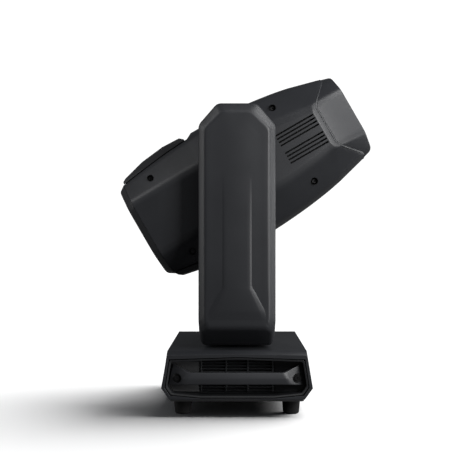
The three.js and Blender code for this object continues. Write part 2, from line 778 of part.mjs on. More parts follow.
// A lens carriage: a ring with two arms that run on the rails.
function carriage(u) {
  const plate = join(rod(LENS_R + 8, u - 3, u + 3), block([-10, 10], [-98, 98], [u - 3, u + 3]));
  const rails = [-1, 1].map((s) => rod(RAIL.r + 0.5, u - 9, u + 9, 0, s * RAIL.y, 16));
  return cut(plate, rod(LENS_R + GAP, u - 9, u + 9), ...rails);
}

// A biconvex lens about the optical axis.
function lens(u, radius, edge, bulge) {
  const steps = 4;
  const curve = (sign) =>
    Array.from({ length: steps + 1 }, (_, i) => {
      const r = (radius * i) / steps;
      return [r, u + sign * (edge / 2 + bulge * (1 - (r / radius) ** 2))];
    });
  return turned([...curve(-1), ...curve(1).toReversed()], 36);
}

function trunnion(end) {
  const { shaft } = TILT;
  return turned([[0, 112.4], [34, 112.4], [34, 117], [shaft, 117], [shaft, end], [0, end]]);
}

const lensBarrel = () =>
  turned([[78, 200.5], [90, 200.5], [90, 204], [82, 204], [82, 262], [78, 262]], 48);

function buildHead() {
  const head = new THREE.Group();
  head.position.z = TILT.z;
  head.rotation.y = THREE.MathUtils.degToRad(90 - REST_ELEVATION);
  add(head, "shell_front", sideShell(-1), SHELL);
  add(head, "shell_back", sideShell(1), SHELL);
  const topLine = [[-217, 119.5], [-209, 124], [-160, 137], [-107, 143], [-66, 141.5], [-57.6, 134.5]];
  const bottomLine = [[-217, 117], [-207, 124.5], [-160, 134], [-107, 140], [-66, 140], [-57.6, 134.5]];
  add(head, "top_panel", servicePanel(1, topLine), TRIM);
  add(head, "bottom_panel", servicePanel(-1, bottomLine), TRIM);
  add(head, "rear_cap", rearCap(), SHELL);
  add(head, "front_cowl", frontCowl(), SHELL);
  add(head, "head_chassis", headChassis(), STEEL);
  add(head, "trunnion_front", trunnion(174).rotateX(Math.PI / 2), BRIGHT);
  add(head, "trunnion_back", trunnion(156).rotateX(-Math.PI / 2), BRIGHT);
  const pulley = toothed(TILT.pulleyTeeth, TILT.shaft + GAP, TILT.beltIn, TILT.beltOut);
  add(head, "tilt_pulley", pulley.rotateX(Math.PI / 2), BRIGHT);
  add(head, "heat_sink", heatSink(), BRIGHT);
  add(head, "led_module", ledModule(), BRIGHT);
  add(head, "cooling_fan", coolingFan(), TRIM);
  add(head, "colour_wheel", apertureWheel(-30, 2), BRIGHT);
  add(head, "gobo_wheel", apertureWheel(-10, 2), BRIGHT);
  add(head, "zoom_carriage", carriage(69), STEEL);
  add(head, "zoom_lens", lens(69, LENS_R, 6, 4), GLASS);
  add(head, "focus_carriage", carriage(130), STEEL);
  add(head, "focus_lens", lens(130, LENS_R, 6, 4), GLASS);
  add(head, "lens_barrel", lensBarrel(), TRIM);
  add(head, "front_lens", lens(254, HEAD.lens + 1, 8, 9), GLASS);
  return head;
}

const light = new THREE.Group();
light.add(buildBase(), buildYoke(), buildHead());

export default light;
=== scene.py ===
"""Looks of the moving head light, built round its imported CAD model. Metres, +Z up."""

import json
import math

import bmesh
import bpy
from mathutils import Matrix, Vector


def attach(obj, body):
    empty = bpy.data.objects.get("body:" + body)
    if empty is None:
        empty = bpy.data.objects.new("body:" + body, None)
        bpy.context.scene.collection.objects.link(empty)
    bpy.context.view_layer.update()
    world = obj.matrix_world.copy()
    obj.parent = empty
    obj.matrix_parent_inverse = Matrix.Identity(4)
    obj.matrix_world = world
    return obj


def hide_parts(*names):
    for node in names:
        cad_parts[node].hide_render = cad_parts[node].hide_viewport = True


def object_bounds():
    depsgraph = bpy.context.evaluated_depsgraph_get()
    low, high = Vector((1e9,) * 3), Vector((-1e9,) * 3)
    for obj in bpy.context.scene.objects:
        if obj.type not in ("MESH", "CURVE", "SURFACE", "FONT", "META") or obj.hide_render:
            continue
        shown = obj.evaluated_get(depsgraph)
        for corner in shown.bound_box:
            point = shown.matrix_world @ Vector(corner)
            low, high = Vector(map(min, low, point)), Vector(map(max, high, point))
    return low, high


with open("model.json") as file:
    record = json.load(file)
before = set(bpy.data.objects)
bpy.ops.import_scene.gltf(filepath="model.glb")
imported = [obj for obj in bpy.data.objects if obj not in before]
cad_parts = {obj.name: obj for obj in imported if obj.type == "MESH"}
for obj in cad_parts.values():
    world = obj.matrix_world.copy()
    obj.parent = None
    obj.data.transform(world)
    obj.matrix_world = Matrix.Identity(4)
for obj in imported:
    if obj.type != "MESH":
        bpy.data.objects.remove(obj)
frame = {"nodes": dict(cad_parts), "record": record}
CAD_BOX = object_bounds()
MM = 0.001

BODY_OF = {
    node: body
    for body, members in frame["record"]["behaviour"]["bodies"].items()
    for node in members
}
SLOT_OF = {row["node"]: row["material_slot"] for row in frame["record"]["subparts"]}


# ---------------------------------------------------------------- stage


def make_camera():
    data = bpy.data.cameras.new("camera")
    data.lens = 75.2
    data.sensor_width = 36.0
    camera = bpy.data.objects.new("camera", data)
    camera.location = (0.0, -2.2, 0.329)
    camera.rotation_euler = (math.radians(90), 0, 0)
    bpy.context.scene.collection.objects.link(camera)
    bpy.context.scene.camera = camera


# Lights of the studio: place in metres, width and height, and power in watts.
STUDIO_LIGHTS = {
    "near_right": ((0.9, -1.3, 0.9), (0.5, 0.9), 18),
    "right_low": ((2.2, -1.4, 0.15), (1.2, 0.6), 19),
    "right_strip": ((2.2, -0.1, 1.0), (0.4, 1.8), 10),
    "right_back": ((2.0, 0.9, 0.9), (0.8, 1.6), 13),
    "rim_left": ((-2.2, -0.2, 0.9), (0.5, 1.8), 11),
    "top_right": ((1.0, -0.35, 1.5), (0.6, 0.6), 7),
    "top_left": ((-1.2, -0.7, 1.6), (0.6, 0.6), 5),
    "top_front": ((0.4, -0.8, 1.8), (0.8, 0.6), 4),
}
LIGHTS_AIM = Vector((0, 0, 0.35))


def area_light(name, place, size, power):
    data = bpy.data.lights.new(name, "AREA")
    data.shape = "RECTANGLE"
    data.size, data.size_y = size
    data.energy = power
    light = bpy.data.objects.new(name, data)
    light.location = place
    light.rotation_euler = (LIGHTS_AIM - Vector(place)).to_track_quat("-Z", "Y").to_euler()
    bpy.context.scene.collection.objects.link(light)
    return light


def make_lights(floor):
    """Soft lights for the object, and a broad sun that draws a soft shadow on the floor alone."""
    lights = [area_light(name, *settings) for name, settings in STUDIO_LIGHTS.items()]
    data = bpy.data.lights.new("floor_sun", "SUN")
    data.energy = 5.2
    data.angle = math.radians(66)
    sun = bpy.data.objects.new("floor_sun", data)
    sun.rotation_euler = Vector((-0.75, -0.42, -1)).to_track_quat("-Z", "Y").to_euler()
    bpy.context.scene.collection.objects.link(sun)
    only_floor = bpy.data.collections.new("lit_floor")
    only_floor.objects.link(floor)
    sun.light_linking.receiver_collection = only_floor
    all_but_floor = bpy.data.collections.new("spared_floor")
    all_but_floor.objects.link(floor)
    all_but_floor.collection_objects[0].light_linking.link_state = "EXCLUDE"
    for light in lights:
        light.light_linking.receiver_collection = all_but_floor


def make_world():
    world = bpy.data.worlds.new("studio")
    world.use_nodes = True
    bpy.context.scene.world = world
    tree = world.node_tree
    tree.nodes.clear()
    out = tree.nodes.new("ShaderNodeOutputWorld")
    seen = tree.nodes.new("ShaderNodeBackground")
    seen.inputs["Color"].default_value = (1, 1, 1, 1)
    seen.inputs["Strength"].default_value = 1.1
    lit = tree.nodes.new("ShaderNodeBackground")
    lit.inputs["Color"].default_value = (0.93, 0.96, 1.0, 1)
    lit.inputs["Strength"].default_value = 0.08
    path = tree.nodes.new("ShaderNodeLightPath")
    mix = tree.nodes.new("ShaderNodeMixShader")
    tree.links.new(path.outputs["Is Camera Ray"], mix.inputs["Fac"])
    tree.links.new(lit.outputs["Background"], mix.inputs[1])
    tree.links.new(seen.outputs["Background"], mix.inputs[2])
    tree.links.new(mix.outputs["Shader"], out.inputs["Surface"])


def make_floor():
    """A wide white floor: white to the camera, but dark grey to every other ray, which is painted
    shade, so that it throws little light back onto the object.
    """
    level = CAD_BOX[0].z - 0.0002
    mesh = bpy.data.meshes.new("floor")
    reach = 40.0
    corners = [(-reach, -reach), (reach, -reach), (reach, reach), (-reach, reach)]
    mesh.from_pydata([(x, y, level) for x, y in corners], [], [(0, 1, 2, 3)])
    floor = bpy.data.objects.new("floor", mesh)
    bpy.context.scene.collection.objects.link(floor)
    material = bpy.data.materials.new("floor_white")
    material.use_nodes = True
    tree = material.node_tree
    tree.nodes.clear()
    out = tree.nodes.new("ShaderNodeOutputMaterial")
    paper = tree.nodes.new("ShaderNodeBsdfDiffuse")
    paper.inputs["Color"].default_value = (0.9, 0.9, 0.9, 1)
    # Painted shade: the floor's dark grey for every ray but the camera's, so it bounces little
    # light onto the object.
    dim = tree.nodes.new("ShaderNodeBsdfDiffuse")
    dim.inputs["Color"].default_value = (0.09, 0.09, 0.09, 1)
    path = tree.nodes.new("ShaderNodeLightPath")
    mix = tree.nodes.new("ShaderNodeMixShader")
    tree.links.new(path.outputs["Is Camera Ray"], mix.inputs["Fac"])
    tree.links.new(dim.outputs["BSDF"], mix.inputs[1])
    tree.links.new(paper.outputs["BSDF"], mix.inputs[2])
    tree.links.new(mix.outputs["Shader"], out.inputs["Surface"])
    mesh.materials.append(material)
    return floor


# ---------------------------------------------------------------- materials


def new_material(name):
    material = bpy.data.materials.new(name)
    material.use_nodes = True
    tree = material.node_tree
    return material, tree, tree.nodes["Principled BSDF"]


def noise(tree, scale, detail=2.0):
    place = tree.nodes.new("ShaderNodeTexCoord")
    texture = tree.nodes.new("ShaderNodeTexNoise")
    texture.inputs["Scale"].default_value = scale
    texture.inputs["Detail"].default_value = detail
    tree.links.new(place.outputs["Object"], texture.inputs["Vector"])
    return texture


def spread(tree, source, low, high):
    """Maps a 0 to 1 pattern onto a range."""
    span = tree.nodes.new("ShaderNodeMapRange")
    span.inputs["To Min"].default_value = low
    span.inputs["To Max"].default_value = high
    tree.links.new(source, span.inputs["Value"])
    return span.outputs["Result"]


def two_tone(tree, shader, pattern, dark, light):
    mix = tree.nodes.new("ShaderNodeMix")
    mix.data_type = "RGBA"
    mix.inputs["A"].default_value = (*dark, 1)
    mix.inputs["B"].default_value = (*light, 1)
    tree.links.new(pattern, mix.inputs["Factor"])
    tree.links.new(mix.outputs["Result"], shader.inputs["Base Color"])


def bump(tree, shader, height, strength, distance):
    node = tree.nodes.new("ShaderNodeBump")
    node.inputs["Strength"].default_value = strength
    node.inputs["Distance"].default_value = distance
    tree.links.new(height, node.inputs["Height"])
    tree.links.new(node.outputs["Normal"], shader.inputs["Normal"])


def moulded(name, colour, rough, grain=900, depth=0.12):
    """Satin moulded plastic: fine spark-eroded grain, faintly cloudy colour and gloss."""
    material, tree, shader = new_material(name)
    clouds = noise(tree, 14, 4)
    dark = tuple(0.9 * c for c in colour)
    light = tuple(1.12 * c for c in colour)
    two_tone(tree, shader, clouds.outputs["Fac"], dark, light)
    gloss = spread(tree, clouds.outputs["Fac"], rough - 0.05, rough + 0.05)
    tree.links.new(gloss, shader.inputs["Roughness"])
    bump(tree, shader, noise(tree, grain, 2).outputs["Fac"], depth, 0.0002)
    return material


def metal(name, colour, rough, grain=400):
    """Bare or blackened metal with a faint grain and smudged gloss."""
    material, tree, shader = new_material(name)
    shader.inputs["Metallic"].default_value = 1
    clouds = noise(tree, 30, 5)
    two_tone(tree, shader, clouds.outputs["Fac"], tuple(0.85 * c for c in colour), colour)
    gloss = spread(tree, clouds.outputs["Fac"], rough - 0.07, rough + 0.07)
    tree.links.new(gloss, shader.inputs["Roughness"])
    bump(tree, shader, noise(tree, grain, 3).outputs["Fac"], 0.1, 0.0002)
    return material


def glass(name, tint):
    """Clear or tinted glass with a trace of dust."""
    material, tree, shader = new_material(name)
    shader.inputs["Base Color"].default_value = (*tint, 1)
    shader.inputs["Transmission Weight"].default_value = 0.9
    shader.inputs["IOR"].default_value = 1.5
    dust = noise(tree, 60, 6)
    tree.links.new(spread(tree, dust.outputs["Fac"], 0.02, 0.07), shader.inputs["Roughness"])
    return material


def glossy_screen(name):
    material, tree, shader = new_material(name)
    clouds = noise(tree, 20, 3)
    two_tone(tree, shader, clouds.outputs["Fac"], (0.004, 0.005, 0.007), (0.007, 0.009, 0.012))
    tree.links.new(spread(tree, clouds.outputs["Fac"], 0.08, 0.16), shader.inputs["Roughness"])
    shader.inputs["Coat Weight"].default_value = 0.6
    return material


MATERIALS = {
    "housing_plastic": moulded("charcoal_plastic", (0.0175, 0.0185, 0.0215), 0.43),
    "trim_plastic": moulded("black_plastic", (0.0105, 0.0112, 0.013), 0.5, 700, 0.2),
    "yoke_metal": moulded("charcoal_powder_coat", (0.0175, 0.0185, 0.0215), 0.5, 600, 0.3),
    "black_steel": moulded("black_powder_coat", (0.014, 0.014, 0.015), 0.5, 500, 0.4),
    # rubber: the feet's black rubber, and also the painted shade of the sheet behind the head's air
    # slots.
    "rubber": moulded("rubber_and_vent_shade", (0.0035, 0.0035, 0.0037), 0.85, 350, 0.4),
    "aluminium": metal("machined_aluminium", (0.55, 0.56, 0.58), 0.32),
    "lens_glass": glass("coated_glass", (0.86, 0.93, 1.0)),
    "screen_glass": glossy_screen("display_glass"),
    "handle_plastic": moulded("handle_plastic", (0.027, 0.028, 0.0315), 0.42, 700, 0.2),
    "grille_plastic": moulded("grille_plastic", (0.03, 0.0315, 0.035), 0.42),
    "button_plastic": moulded("button_plastic", (0.035, 0.036, 0.04), 0.45, 500, 0.2),
    "dark_screw": metal("blackened_screw", (0.05, 0.05, 0.052), 0.38),
    # Near-black of the sheet behind the base's louvres: painted shade.
    "louvre_shade_sheet": moulded("painted_shade_sheet", (0.004, 0.004, 0.004), 0.85, 250, 0.8),
    "tile_blue": moulded("tile_blue", (0.02, 0.09, 0.2), 0.3),
    "tile_teal": moulded("tile_teal", (0.02, 0.14, 0.13), 0.3),
    "tile_grey": moulded("tile_grey", (0.12, 0.13, 0.14), 0.3),
    "pale_mark": moulded("pale_mark", (0.45, 0.46, 0.47), 0.5),
    "filter_red": glass("filter_red", (0.9, 0.05, 0.03)),
    "filter_amber": glass("filter_amber", (1.0, 0.45, 0.04)),
    "filter_green": glass("filter_green", (0.08, 0.75, 0.15)),
    "filter_cyan": glass("filter_cyan", (0.05, 0.7, 0.85)),
    "filter_blue": glass("filter_blue", (0.04, 0.1, 0.85)),
    "filter_magenta": glass("filter_magenta", (0.85, 0.05, 0.6)),
}


# ---------------------------------------------------------------- mesh helpers


def link(name, mesh):
    piece = bpy.data.objects.new(name, mesh)
    bpy.context.scene.collection.objects.link(piece)
    return piece


def smooth(mesh, angle):
    for face in mesh.polygons:
        face.use_smooth = True
    mesh.set_sharp_from_angle(angle=math.radians(angle))


def mesh_of(name, points, faces):
    mesh = bpy.data.meshes.new(name)
    mesh.from_pydata([tuple(p) for p in points], [], faces)
    work = bmesh.new()
    work.from_mesh(mesh)
    bmesh.ops.remove_doubles(work, verts=work.verts, dist=2e-6)
    bmesh.ops.recalc_face_normals(work, faces=work.faces)
    work.to_mesh(mesh)
    work.free()
    return mesh


def skin(name, rows, around=True, endless=False, caps=False):
    """A mesh through rows of points.

    around joins each row's ends, endless joins the last row to the first, caps closes both ends.
    """
    n = len(rows[0])
    faces = []
    for i in range(len(rows) if endless else len(rows) - 1):
        a, b = i * n, (i + 1) % len(rows) * n
        for j in range(n if around else n - 1):
            k = (j + 1) % n
            faces.append((a + j, a + k, b + k, b + j))
    if caps:
        faces.append(tuple(range(n))[::-1])
        faces.append(tuple(range((len(rows) - 1) * n, len(rows) * n)))
    return mesh_of(name, [p for row in rows for p in row], faces)


def box(name, low, high, place=None):
    """A box in millimetres, with its corners moved by place."""
    (x0, x1), (y0, y1), levels = zip(low, high)
    around = ((x0, y0), (x1, y0), (x1, y1), (x0, y1))
    corners = [Vector((x, y, z)) * MM for z in levels for x, y in around]
    if place is not None:
        corners = [place @ p for p in corners]
    faces = [(3, 2, 1, 0), (4, 5, 6, 7), (0, 1, 5, 4), (1, 2, 6, 5), (2, 3, 7, 6), (3, 0, 4, 7)]
    return mesh_of(name, corners, faces)


def turned(name, profile, place, sides=48, closed=True):
    """A solid of revolution about Z from (radius, z) pairs in millimetres, moved by place."""
    rows = []
    for k in range(sides):
        turn = place @ Matrix.Rotation(2 * math.pi * k / sides, 4, "Z")
        rows.append([turn @ (Vector((r, 0, z)) * MM) for r, z in profile])
    return skin(name, rows, around=closed, endless=True)


def thicken(piece, wall):
    modifier = piece.modifiers.new("wall", "SOLIDIFY")
    modifier.thickness = wall * MM
    modifier.offset = -1
    modifier.use_even_offset = True


def applied(piece):
    """The piece's mesh with its modifiers made real."""
    graph = bpy.context.evaluated_depsgraph_get()
    mesh = bpy.data.meshes.new_from_object(piece.evaluated_get(graph))
    piece.modifiers.clear()
    piece.data = mesh
    return piece


def carve(piece, cutters):
    """Cuts each cutter mesh out of the piece."""
    tools = [link(f"cutter_{i}", mesh) for i, mesh in enumerate(cutters)]
    for tool in tools:
        modifier = piece.modifiers.new("cut", "BOOLEAN")
        modifier.operation = "DIFFERENCE"
        modifier.solver = "EXACT"
        modifier.object = tool
    applied(piece)
    for tool in tools:
        bpy.data.objects.remove(tool)
    return piece


def round_edges(piece, width, segments=3, angle=25):
    modifier = piece.modifiers.new("edges", "BEVEL")
    modifier.width = width * MM
    modifier.segments = segments
    modifier.limit_method = "ANGLE"
    modifier.angle_limit = math.radians(angle)
    modifier.use_clamp_overlap = True
    modifier.miter_outer = "MITER_ARC"
    modifier.harden_normals = True


def dress(piece, body, slot, soft=35, material=None):
    """Gives a piece its finish and its body."""
    piece.data.materials.clear()
    piece.data.materials.append(MATERIALS[material or slot])
    smooth(piece.data, soft)
    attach(piece, body)
    return piece


def detail(name, mesh, body, slot, soft=35, material=None, edge=0):
    piece = dress(link(name, mesh), body, slot, soft, material)
    if edge:
        round_edges(piece, edge, 2)
    return piece


def build_screw(name, body, place, sizes, chamfer=(0.4, 0.4), sides=24):
    """A socket screw's head: radii of socket and head, then heights of top, socket floor, seat."""
    socket, radius, top, floor, seat = sizes
    rim = [(socket, floor), (socket, top), (radius - chamfer[0], top), (radius, top - chamfer[1])]
    mesh = turned(name, [(0, floor), *rim, (radius, seat), (0, seat)], place, sides)
    detail(name, mesh, body, "black_steel", material="dark_screw")


def stand_for(piece, node, soft=35, material=None):
    dress(piece, BODY_OF[node], SLOT_OF[node], soft, material)
    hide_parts(node)
    return piece


def clean_copy(node, flat=0.05):
    """A CAD node's mesh with its vertices merged and its flat faces made whole."""
    work = bmesh.new()
    work.from_mesh(frame["nodes"][node].data)
    bmesh.ops.remove_doubles(work, verts=work.verts, dist=2e-6)
    limit = math.radians(flat)
    bmesh.ops.dissolve_limit(work, angle_limit=limit, verts=work.verts, edges=work.edges)
    mesh = bpy.data.meshes.new(node + "_shape")
    work.to_mesh(mesh)
    work.free()
    return mesh


def refine(node, width=0.6, segments=2, angle=25, soft=35, flat=0.05):
    """Replaces a CAD node by a copy with rounded edges and its own finish."""
    piece = link(node + "_v", clean_copy(node, flat))
    if width:
        round_edges(piece, width, segments, angle)
    return stand_for(piece, node, soft)


# ---------------------------------------------------------------- head

TILT = Matrix.Translation((0, 0, 0.456)) @ Matrix.Rotation(math.radians(60), 4, "Y")

# Sections of the head: place on the axis, heights of crown, shoulder and side, half-widths of side
# and shoulder.
REAR_BODY = (
    (-219, 113, 107, 59, 128.5, 78),
    (-160, 122, 115, 59, 130, 78),
    (-107, 128, 121, 59, 130, 78),
    (-57, 131, 124.5, 59, 130, 78),
)
STEP = (-52, 131, 125, 59, 130, 78)
FRONT_BODY = (
    (-38, 139, 127, 59, 130, 78),
    (20, 138.5, 128, 59, 130, 78),
    (96, 133, 124, 58, 130, 78),
    (157, 125, 116, 52, 130, 74),
    (194, 118, 110, 46, 130, 70),
    (203, 115.7, 107.5, 45.3, 130, 69),
)
CREASE = ((130, 38, 205), (126, 52, 212), (63, 92, 259), (32, 99.5, 262), (0, 100.5, 262))
PARTING = ((124.5, 41, 218), (119, 54, 227), (60, 88, 266), (31, 96.5, 268), (0, 98, 268))
COWL_FACE = ((88.5, 47, 286), (86, 55, 286), (53, 86, 286), (27, 91.5, 286), (0, 93, 286))
COWL_MOUTH = ((286, 84), (285.6, 81), (284, 79), (281, 77.5), (274, 77), (266, 77))
REAR_FACE = ((112, 45, -234), (108, 59, -234), (68, 98, -234), (34, 103, -234), (0, 104, -234))
CORNER_CUTS = ((3.5, 4), (8, 5), (13, 5), (16, 4))
VENT_EDGES = (7.35, 10.85, 15.15, 18.65, 22.95, 26.45, 30.75, 34.25)
VENT_SPAN = (111, 203)
SCREW_PLACES = [(u, v) for u in (-160, 138) for v in (-89, 89)]


def section(u, crown, shoulder, flat, half, top):
    """A section's corners, outwards, upwards and along the axis, from the side to the crown."""
    side = ((half, flat - 7, u), (half - 4, flat + 7, u))
    return (*side, (top, shoulder, u), (top / 2, crown - 1, u), (0, crown, u))


def between(stations, count):
    """Sections along a run, eased so that the outline has no kinks."""
    run = []
    last = len(stations) - 1
    for i in range(last):
        p0, p1, p2, p3 = (Vector(stations[min(max(i + k, 0), last)]) for k in (-1, 0, 1, 2))
        gap = p2[0] - p1[0]
        slope1 = (p2 - p0) * (gap / (p2[0] - p0[0]))
        slope2 = (p3 - p1) * (gap / (p3[0] - p1[0]))
        for k in range(count):
            t = k / count
            eased_point = p1 * (2 * t**3 - 3 * t**2 + 1) + slope1 * (t**3 - 2 * t**2 + t)
            eased_point += p2 * (3 * t**2 - 2 * t**3) + slope2 * (t**3 - t**2)
            run.append(tuple(eased_point))
    run.append(tuple(stations[-1]))
    return run


def corner_arc(before, corner, after, cut, steps):
    back, on = before - corner, after - corner
    start = corner + back.normalized() * min(cut, 0.45 * back.length)
    end = corner + on.normalized() * min(cut, 0.45 * on.length)
    places = (k / steps for k in range(steps + 1))
    return [start * (1 - t) ** 2 + corner * 2 * t * (1 - t) + end * t**2 for t in places]


def quarter(points):
    """A finely rounded quarter of a section, from the middle of the side up to the crown."""
    corners = [Vector(p) for p in points]
    side = corners[0]
    row = [Vector((side.x, v, side.z)) for v in (0, *VENT_EDGES)]
    chain = [Vector((side.x, 0, side.z)), *corners]
    for i, (cut, steps) in enumerate(CORNER_CUTS, start=1):
        row += corner_arc(chain[i - 1], chain[i], chain[i + 1], cut, steps)
    row.append(corners[-1])
    return row


def side_row(row, side):
    """One half of a section, from the bottom centre line to the top one, in the head's own axes."""
    lower = [Vector((p.x, -p.y, p.z)) for p in reversed(row[1:])]
    return [Vector((-p.y, side * max(p.x, 0.2), p.z)) for p in [*lower, *row]]


def whole_ring(row):
    near = side_row(row, -1)
    far = side_row(row, 1)[::-1]
    near[0].y = near[-1].y = 0
    return near + far[1:-1]


def in_head(points):
    return [TILT @ (p * MM) for p in points]


def eased_rows(row_a, row_b, row_c, cut, steps):
    """Rows that round the edge where b lies between a and c."""
    columns = [corner_arc(a, b, c, cut, steps) for a, b, c in zip(row_a, row_b, row_c)]
    return [list(row) for row in zip(*columns)]


def on_side(u, v, side, depth=0):
    """A matrix at a place on the head's side, its Z pointing out along the tilt axis."""
    place = TILT @ Matrix.Translation((-v * MM, side * depth * MM, u * MM))
    return place @ Matrix.Rotation(math.radians(-90 * side), 4, "X")


def body_rows():
    run = [*between(REAR_BODY, 4), STEP, *between(FRONT_BODY, 4)]
    at = next(i for i, s in enumerate(run) if s[0] > VENT_SPAN[0])
    a, b = run[at - 1], run[at]
    share = (VENT_SPAN[0] - a[0]) / (b[0] - a[0])
    run.insert(at, tuple(p + (q - p) * share for p, q in zip(a, b)))
    rows = [quarter(section(*s)) for s in run]
    parting = quarter(PARTING)
    rows += eased_rows(rows[-1], quarter(CREASE), parting, 6, 5)
    return [*rows, *eased_rows(rows[-1], parting, [p * 0.985 for p in parting], 0.5, 2)]


def open_vents(mesh):
    """Takes the air slots' faces out of a side shell."""
    work = bmesh.new()
    work.from_mesh(mesh)
    back = TILT.inverted()
    slots = list(zip(VENT_EDGES[::2], VENT_EDGES[1::2]))
    gone = []
    for face in work.faces:
        at = back @ face.calc_center_median() / MM
        on_flat = abs(at.y) > 129 and VENT_SPAN[0] < at.z < VENT_SPAN[1]
        if on_flat and any(a < abs(at.x) < b for a, b in slots):
            gone.append(face)
    bmesh.ops.delete(work, geom=gone, context="FACES")
    work.to_mesh(mesh)
    work.free()


def build_side_shell(side, node):
    mesh = skin(node, [in_head(side_row(row, side)) for row in body_rows()], around=False)
    if mesh.polygons[len(mesh.polygons) // 2].normal.y * side < 0:
        mesh.flip_normals()
    open_vents(mesh)
    piece = link(node + "_v", mesh)
    thicken(piece, 3)
    applied(piece)
    bore = [(0, 80), (7, 80), (7, 150), (0, 150)]
    carve(piece, [turned("bore", bore, on_side(u, v, side)) for u, v in SCREW_PLACES])
    stand_for(piece, node, 24)
    for i, (u, v) in enumerate(SCREW_PLACES, start=1):
        build_screw_cup(f"{node}_cup_{i}", on_side(u, v, side, 97))
    # A near-black sheet behind the air slots: painted shade, so that the slots read black.
    low, high = sorted((side * 112.5, side * 114.5))
    liner = box(node + "_liner", (-44, low, 100), (44, high, 206), TILT)
    detail(node + "_vent_shade_sheet", liner, "head", "rubber")


def build_screw_cup(name, place):
    """The moulded cup under a screw pocket, with its socket-head screw."""
    cup = [(6.9, 9), (6.9, -6), (0, -6), (0, -8), (8, -8), (8, 3)]
    detail(name, turned(name, cup, place, 32, closed=False), "head", "trim_plastic")
    build_screw(name + "_screw", "head", place, (1.8, 4.6, -0.5, -4, -5.8), (0.4, 0.5))


def build_front_cowl():
    shift = Vector((0, 0, 0.4))
    start = [p + shift for p in quarter(PARTING)]
    face = quarter(COWL_FACE)
    lip = [Vector((p.x * 0.95, p.y * 0.95, p.z)) for p in face]
    rows = eased_rows([p * 0.985 for p in start], start, face, 0.5, 2)
    rows += eased_rows(start, face, lip, 3.5, 4)
    rings = [whole_ring(row) for row in rows]
    angles = [math.atan2(p.y, p.x) for p in rings[-1]]

    def mouth(u, radius):
        return [Vector((radius * math.cos(a), radius * math.sin(a), u)) for a in angles]

    rings += [mouth(*edge) for edge in COWL_MOUTH]
    rings.append([p * 0.94 for p in whole_ring(face)])
    rings.append([p * 0.96 for p in whole_ring(start)])
    piece = link("front_cowl_v", skin("front_cowl", [in_head(r) for r in rings], endless=True))
    stand_for(piece, "front_cowl", 24)


def build_rear_cap():
    rim = [p - Vector((0, 0, 0.5)) for p in quarter(section(*REAR_BODY[0]))]
    face = quarter(REAR_FACE)
    inner = [Vector((p.x * 0.94, p.y * 0.94, p.z)) for p in face]
    rows = eased_rows([Vector((p.x * 0.985, p.y * 0.985, p.z)) for p in rim], rim, face, 1.2, 2)
    rows += eased_rows(rim, face, inner, 4, 4)
    rings = [whole_ring(row) for row in rows]
    rings += [grille_mouth(rings[-1], 66, 92, -234), grille_mouth(rings[-1], 64.5, 90.5, -232.5)]
    rings += [grille_mouth(rings[0], 64.5, 90.5, -222), grille_mouth(rings[0], 68, 94, -222)]
    rings.append([Vector((p.x * 0.95, p.y * 0.95, p.z + 3)) for p in whole_ring(face)])
    rings.append([Vector((p.x * 0.97, p.y * 0.97, p.z)) for p in whole_ring(rim)])
    piece = link("rear_cap_v", skin("rear_cap", [in_head(r) for r in rings], endless=True))
    stand_for(piece, "rear_cap", 24)
    for i in range(12):
        x = -60.5 + 11 * i
        middle = TILT @ Matrix.Translation((x * MM, 0, -227 * MM))
        lean = middle @ Matrix.Rotation(math.radians(28), 4, "Y")
        blade = box(f"rear_louvre_{i + 1}", (-1.3, -91, -5), (1.3, 91, 5), lean)
        detail(f"rear_louvre_{i + 1}", blade, "head", "trim_plastic", edge=0.5)
    for i, y in enumerate((-46, 0, 46)):
        rib = box(f"rear_rib_{i + 1}", (-65, y - 2, -230), (65, y + 2, -223), TILT)
        detail(f"rear_rib_{i + 1}", rib, "head", "trim_plastic", edge=0.5)
    for x, y in ((-80, -78), (-80, 78), (80, -78), (80, 78)):
        name = f"rear_screw_{'a' if x < 0 else 'b'}{'a' if y < 0 else 'b'}"
        middle = TILT @ Matrix.Translation((x * MM, y * MM, -231 * MM))
        place = middle @ Matrix.Rotation(math.pi, 4, "X")
        build_screw(name, "head", place, (1.7, 3.8, 2.6, 0.6, 0))


def grille_mouth(ring, half_x, half_y, u):
    """The ring's points drawn in to a rectangle."""
    out = []
    for p in ring:
        share = max(abs(p.x) / half_x, abs(p.y) / half_y)
        out.append(Vector((p.x / share, p.y / share, u)))
    return out


def build_head():
    build_side_shell(-1, "shell_front")
    build_side_shell(1, "shell_back")
    build_front_cowl()
    build_rear_cap()
    for node in ("top_panel", "bottom_panel"):
        refine(node, 2.0, 3, 12, flat=0.3)
    refine("lens_barrel", 0.5)
    refine("front_lens", 0, flat=0, soft=40)
    ring = [(74.2, 258), (76.9, 258), (76.9, 264.5), (75.6, 265.5), (74.2, 264.5)]
    detail("lens_retaining_ring", turned("retaining", ring, TILT, 96), "head", "trim_plastic")
    baffle = [(76.9, 204), (76.9, 246)]
    for k in range(7):
        baffle += [(76.9, 246 - 6 * k), (74.5, 245 - 6 * k), (76.9, 244 - 6 * k)]
    detail("barrel_baffles", turned("baffles", baffle, TILT, 72), "head", "trim_plastic")
    for node in ("head_chassis", "heat_sink", "led_module"):
        refine(node, 0.5)
    for node in ("trunnion_front", "trunnion_back", "tilt_pulley"):
        refine(node, 0.5)
    collar = [(20.4, 129.5), (31, 129.5), (31, 131.4), (29.5, 132.4), (22, 132.4), (20.4, 131.4)]
    for side, name in ((-1, "front"), (1, "back")):
        mesh = turned(f"collar_{name}", collar, on_side(0, 0, side), 64)
        detail(f"trunnion_collar_{name}", mesh, "head", "trim_plastic")


# ---------------------------------------------------------------- wheels, lenses and fan

FILTERS = [f"filter_{tint}" for tint in ("red", "amber", "green", "cyan", "blue", "magenta")]


